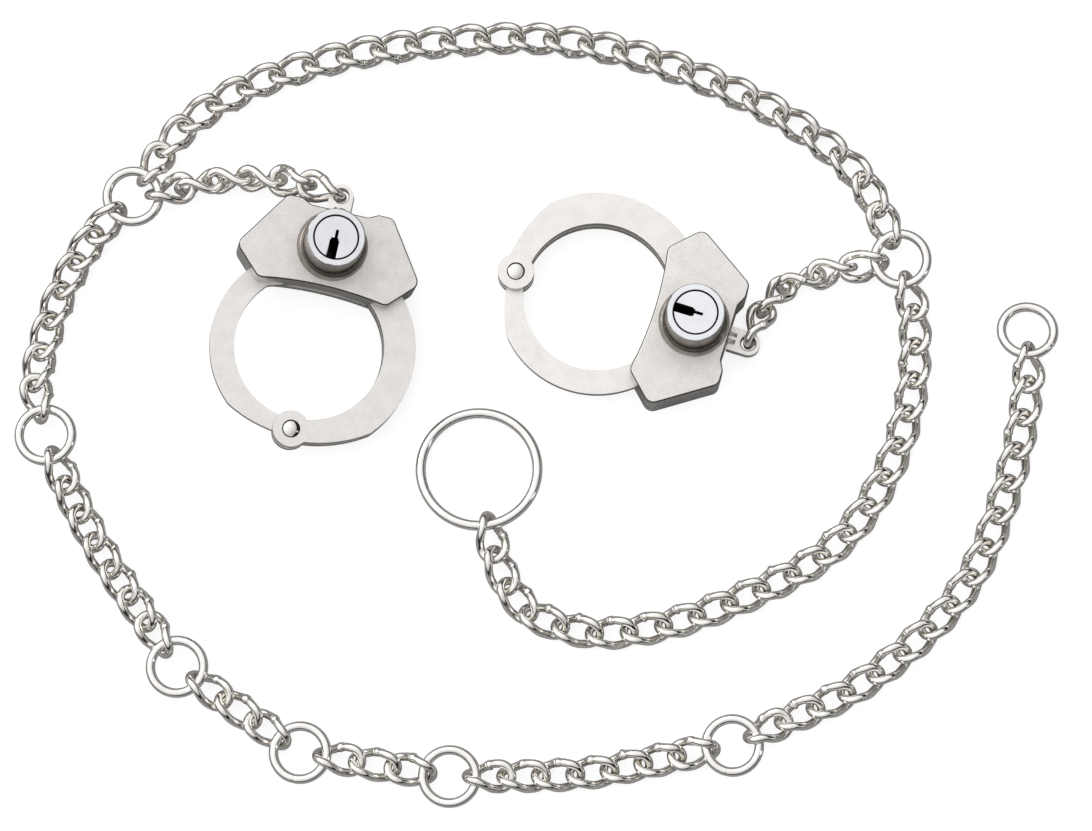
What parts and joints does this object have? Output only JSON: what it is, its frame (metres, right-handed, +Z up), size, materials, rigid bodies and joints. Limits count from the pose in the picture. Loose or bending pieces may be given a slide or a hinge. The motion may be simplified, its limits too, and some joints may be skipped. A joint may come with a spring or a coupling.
{
  "type": "belly chain restraint with two handcuffs",
  "caption": "Waist chain of twisted links with rings, and a swing-through handcuff with a key-lock barrel on each of its two short branches, laid out flat.",
  "frame": {"origin": "centre of the layout on the surface it lies on", "axes": "+Z up from the surface the layout lies on, +X along its longer side"},
  "size_m": [0.4717, 0.3605, 0.0478],
  "materials": {
    "satin_nickel": "bead-blasted nickel plate",
    "polished_nickel": "polished nickel plate",
    "chain_nickel": "tumbled nickel plate",
    "plain_steel": "machined",
    "spring_steel": "blued"
  },
  "bodies": {
    "cuff_a": {"housing_front_a": "satin_nickel", "housing_back_a": "satin_nickel", "cheek_front_a": "satin_nickel", "cheek_back_a": "satin_nickel", "hinge_rivet_a": "polished_nickel", "case_rivets_a": "polished_nickel", "case_spacers_a": "plain_steel", "lock_barrel_a": "polished_nickel", "pawl_pin_a": "plain_steel", "pawl_spring_a": "spring_steel"},
    "strand_a": {"strand_a": "satin_nickel"},
    "plug_a": {"lock_plug_a": "polished_nickel", "lock_cam_a": "plain_steel"},
    "pawl_a": {"pawl_a": "plain_steel"},
    "double_lock_bar_a": {"double_lock_bar_a": "plain_steel"},
    "swivel_a": {"swivel_a": "satin_nickel"},
    "cuff_b": {"housing_front_b": "satin_nickel", "housing_back_b": "satin_nickel", "cheek_front_b": "satin_nickel", "cheek_back_b": "satin_nickel", "hinge_rivet_b": "polished_nickel", "case_rivets_b": "polished_nickel", "case_spacers_b": "plain_steel", "lock_barrel_b": "polished_nickel", "pawl_pin_b": "plain_steel", "pawl_spring_b": "spring_steel"},
    "strand_b": {"strand_b": "satin_nickel"},
    "plug_b": {"lock_plug_b": "polished_nickel", "lock_cam_b": "plain_steel"},
    "pawl_b": {"pawl_b": "plain_steel"},
    "double_lock_bar_b": {"double_lock_bar_b": "plain_steel"},
    "swivel_b": {"swivel_b": "satin_nickel"},
    "big_ring": {"big_ring": "chain_nickel"},
    "ring_upper_left": {"ring_upper_left": "chain_nickel"},
    "ring_left": {"ring_left": "chain_nickel"},
    "ring_lower_left": {"ring_lower_left": "chain_nickel"},
    "ring_bottom_left": {"ring_bottom_left": "chain_nickel"},
    "ring_bottom": {"ring_bottom": "chain_nickel"},
    "ring_lower_right": {"ring_lower_right": "chain_nickel"},
    "ring_right": {"ring_right": "chain_nickel"},
    "end_ring": {"end_ring": "chain_nickel"},
    "lead_chain_start": {"lead_chain_start": "chain_nickel"},
    "lead_chain_end": {"lead_chain_end": "chain_nickel"},
    "top_chain_right": {"top_chain_right": "chain_nickel"},
    "top_chain_mid": {"top_chain_mid": "chain_nickel"},
    "top_chain_left": {"top_chain_left": "chain_nickel"},
    "side_chain_upper": {"side_chain_upper": "chain_nickel"},
    "side_chain_lower": {"side_chain_lower": "chain_nickel"},
    "short_chain_left": {"short_chain_left": "chain_nickel"},
    "short_chain_right": {"short_chain_right": "chain_nickel"},
    "bottom_chain": {"bottom_chain": "chain_nickel"},
    "tail_chain_start": {"tail_chain_start": "chain_nickel"},
    "tail_chain_end": {"tail_chain_end": "chain_nickel"},
    "branch_chain_a": {"branch_chain_a": "chain_nickel"},
    "branch_chain_b": {"branch_chain_b": "chain_nickel"}
  },
  "joints": [
    {"name": "top_chain_bend_right", "type": "hinge", "parent": "top_chain_mid", "child": "top_chain_right", "pos_m": [0.06812, 0.15736, 0.0056], "axis": [0, 0, 1], "range_deg": [-4, 8]},
    {"name": "top_chain_bend_left", "type": "hinge", "parent": "top_chain_mid", "child": "top_chain_left", "pos_m": [-0.05755, 0.17014, 0.0056], "axis": [0, 0, 1], "range_deg": [-8, 4]},
    {"name": "ring_right_turn", "type": "hinge", "parent": "top_chain_right", "child": "ring_right", "pos_m": [0.16475, 0.06854, 0.0072], "axis": [0, 0, 1], "range_deg": [-4, 6]},
    {"name": "lead_chain_turn", "type": "hinge", "parent": "ring_right", "child": "lead_chain_end", "pos_m": [0.16475, 0.06854, 0.0072], "axis": [0, 0, -1], "range_deg": [-6, 4]},
    {"name": "lead_chain_bend", "type": "hinge", "parent": "lead_chain_end", "child": "lead_chain_start", "pos_m": [0.0858, -0.08932, 0.0056], "axis": [0, 0, 1], "range_deg": [-5, 10]},
    {"name": "big_ring_turn", "type": "hinge", "parent": "lead_chain_start", "child": "big_ring", "pos_m": [-0.02655, -0.02786, 0.00475], "axis": [0, 0.0932, 0.9957], "continuous": true},
    {"name": "branch_b_turn", "type": "hinge", "parent": "ring_right", "child": "branch_chain_b", "pos_m": [0.16475, 0.06854, 0.0072], "axis": [0, 0, -1], "range_deg": [-8, 12]},
    {"name": "ring_upper_left_turn", "type": "hinge", "parent": "top_chain_left", "child": "ring_upper_left", "pos_m": [-0.18445, 0.09795, 0.0072], "axis": [0, 0, 1], "range_deg": [-10, 4]},
    {"name": "branch_a_turn", "type": "hinge", "parent": "ring_upper_left", "child": "branch_chain_a", "pos_m": [-0.18445, 0.09795, 0.0072], "axis": [0, 0, -1], "range_deg": [-4, 10]},
    {"name": "eye_b_swing", "type": "hinge", "parent": "branch_chain_b", "child": "swivel_b", "pos_m": [0.09495, 0.02894, 0.0073], "axis": [0, 0, 1], "range_deg": [-7, 10]},
    {"name": "cuff_b_roll", "type": "hinge", "parent": "swivel_b", "child": "cuff_b", "pos_m": [0.08541, 0.03193, 0.0073], "axis": [-0.9542, 0.299, 0], "continuous": true},
    {"name": "strand_b_swing", "type": "hinge", "parent": "cuff_b", "child": "strand_b", "pos_m": [-0.01002, 0.06184, 0.0073], "axis": [0, 0, -1], "range_deg": [-150, 30]},
    {"name": "key_b_turn", "type": "hinge", "parent": "cuff_b", "child": "plug_b", "pos_m": [0.07014, 0.03672, 0.03], "axis": [0, 0, 1], "range_deg": [0, 90]},
    {"name": "pawl_b_lift", "type": "hinge", "parent": "cuff_b", "child": "pawl_b", "pos_m": [0.07102, 0.06128, 0.0073], "axis": [0, 0, 1], "range_deg": [0, 7], "deforming": ["pawl_spring_b"]},
    {"name": "double_lock_b_slide", "type": "slide", "parent": "cuff_b", "child": "double_lock_bar_b", "axis": [-0.299, -0.9542, 0], "range_m": [-0.003, 0]},
    {"name": "eye_a_swing", "type": "hinge", "parent": "branch_chain_a", "child": "swivel_a", "pos_m": [-0.08905, 0.09605, 0.0132], "axis": [0, 0, -1], "range_deg": [-8, 5]},
    {"name": "cuff_a_roll", "type": "hinge", "parent": "swivel_a", "child": "cuff_a", "pos_m": [-0.09107, 0.08625, 0.0132], "axis": [-0.2019, -0.9794, 0], "continuous": true},
    {"name": "strand_a_swing", "type": "hinge", "parent": "cuff_a", "child": "strand_a", "pos_m": [-0.11126, -0.01169, 0.0132], "axis": [0.1363, -0.0281, 0.9903], "range_deg": [-45, 180]},
    {"name": "key_a_turn", "type": "hinge", "parent": "cuff_a", "child": "plug_a", "pos_m": [-0.09121, 0.06994, 0.03568], "axis": [-0.1363, 0.0281, -0.9903], "range_deg": [0, 90]},
    {"name": "pawl_a_lift", "type": "hinge", "parent": "cuff_a", "child": "pawl_a", "pos_m": [-0.07263, 0.05948, 0.0099], "axis": [-0.1363, 0.0281, -0.9903], "range_deg": [0, 7], "deforming": ["pawl_spring_a"]},
    {"name": "double_lock_a_slide", "type": "slide", "parent": "cuff_a", "child": "double_lock_bar_a", "axis": [-0.9699, 0.2, 0.1392], "range_m": [-0.003, 0]},
    {"name": "side_chain_upper_turn", "type": "hinge", "parent": "ring_upper_left", "child": "side_chain_upper", "pos_m": [-0.18445, 0.09795, 0.0072], "axis": [0, 0, -1], "range_deg": [-5, 15]},
    {"name": "ring_left_turn", "type": "hinge", "parent": "side_chain_upper", "child": "ring_left", "pos_m": [-0.22185, -0.01265, 0.0072], "axis": [0, 0, 1], "range_deg": [-15, 5]},
    {"name": "side_chain_lower_turn", "type": "hinge", "parent": "ring_left", "child": "side_chain_lower", "pos_m": [-0.22185, -0.01265, 0.0072], "axis": [0, 0, -1], "range_deg": [-5, 15]},
    {"name": "ring_lower_left_turn", "type": "hinge", "parent": "side_chain_lower", "child": "ring_lower_left", "pos_m": [-0.16085, -0.11775, 0.0072], "axis": [0, 0, 1], "range_deg": [-15, 5]},
    {"name": "short_chain_left_turn", "type": "hinge", "parent": "ring_lower_left", "child": "short_chain_left", "pos_m": [-0.16085, -0.11775, 0.0072], "axis": [0, 0, -1], "range_deg": [-5, 15]},
    {"name": "ring_bottom_left_turn", "type": "hinge", "parent": "short_chain_left", "child": "ring_bottom_left", "pos_m": [-0.10555, -0.15615, 0.0072], "axis": [0, 0, 1], "range_deg": [-15, 5]},
    {"name": "short_chain_right_turn", "type": "hinge", "parent": "ring_bottom_left", "child": "short_chain_right", "pos_m": [-0.10555, -0.15615, 0.0072], "axis": [0, 0, -1], "range_deg": [-5, 15]},
    {"name": "ring_bottom_turn", "type": "hinge", "parent": "short_chain_right", "child": "ring_bottom", "pos_m": [-0.03915, -0.16675, 0.0072], "axis": [0, 0, 1], "range_deg": [-15, 5]},
    {"name": "bottom_chain_turn", "type": "hinge", "parent": "ring_bottom", "child": "bottom_chain", "pos_m": [-0.03915, -0.16675, 0.0072], "axis": [0, 0, -1], "range_deg": [-5, 15]},
    {"name": "ring_lower_right_turn", "type": "hinge", "parent": "bottom_chain", "child": "ring_lower_right", "pos_m": [0.08645, -0.15296, 0.0072], "axis": [0, 0, 1], "range_deg": [-15, 5]},
    {"name": "tail_chain_turn", "type": "hinge", "parent": "ring_lower_right", "child": "tail_chain_start", "pos_m": [0.08645, -0.15296, 0.0072], "axis": [0, 0, -1], "range_deg": [-5, 15]},
    {"name": "tail_chain_bend", "type": "hinge", "parent": "tail_chain_start", "child": "tail_chain_end", "pos_m": [0.18519, -0.09015, 0.0056], "axis": [0, 0, 1], "range_deg": [-10, 5]},
    {"name": "end_ring_turn", "type": "hinge", "parent": "tail_chain_end", "child": "end_ring", "pos_m": [0.22185, 0.03594, 0.00468], "axis": [0, 0.2131, 0.977], "continuous": true}
  ],
  "couplings": [
    {"joint": "pawl_a_lift", "follows": "key_a_turn", "ratio": 0.077778},
    {"joint": "pawl_b_lift", "follows": "key_b_turn", "ratio": 0.077778}
  ]
}
